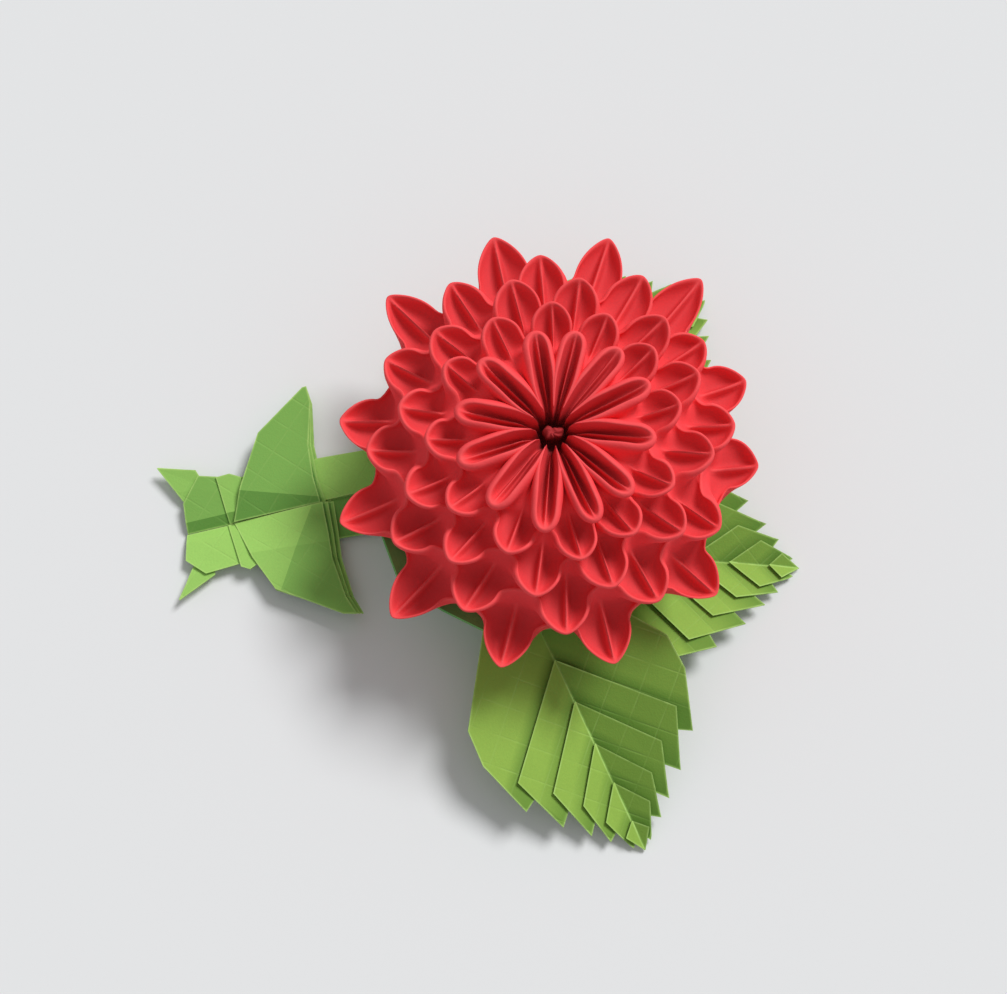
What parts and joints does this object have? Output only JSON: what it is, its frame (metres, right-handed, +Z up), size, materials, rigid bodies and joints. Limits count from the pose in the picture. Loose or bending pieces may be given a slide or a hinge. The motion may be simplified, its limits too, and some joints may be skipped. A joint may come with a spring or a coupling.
{
  "type": "paper flower",
  "caption": "Folded paper dahlia lying on a table: a domed red head of pleated petals in rings, with a green calyx, a winged stem and pleated green leaves.",
  "frame": {"origin": "on the table, under the axis of the flower's head, at the middle of the calyx's flat foot", "axes": "+Z up along the axis of the head, +X away from the stem, -Y towards the front leaf"},
  "size_m": [0.1339, 0.1218, 0.0424],
  "materials": {
    "red_paper": "matt dyed paper, red",
    "calyx_paper": "matt dyed paper, deep green",
    "stem_paper": "matt dyed paper, leaf green with pale worn folds",
    "leaf_front_paper": "matt dyed paper, yellow green",
    "leaf_right_paper": "matt dyed paper, yellow green",
    "leaf_back_paper": "matt dyed paper, yellow green"
  },
  "bodies": {
    "root": {"flower_head": "red_paper", "calyx": "calyx_paper", "stem": "stem_paper", "leaf_front": "leaf_front_paper", "leaf_right": "leaf_right_paper", "leaf_back": "leaf_back_paper"}
  },
  "joints": []
}
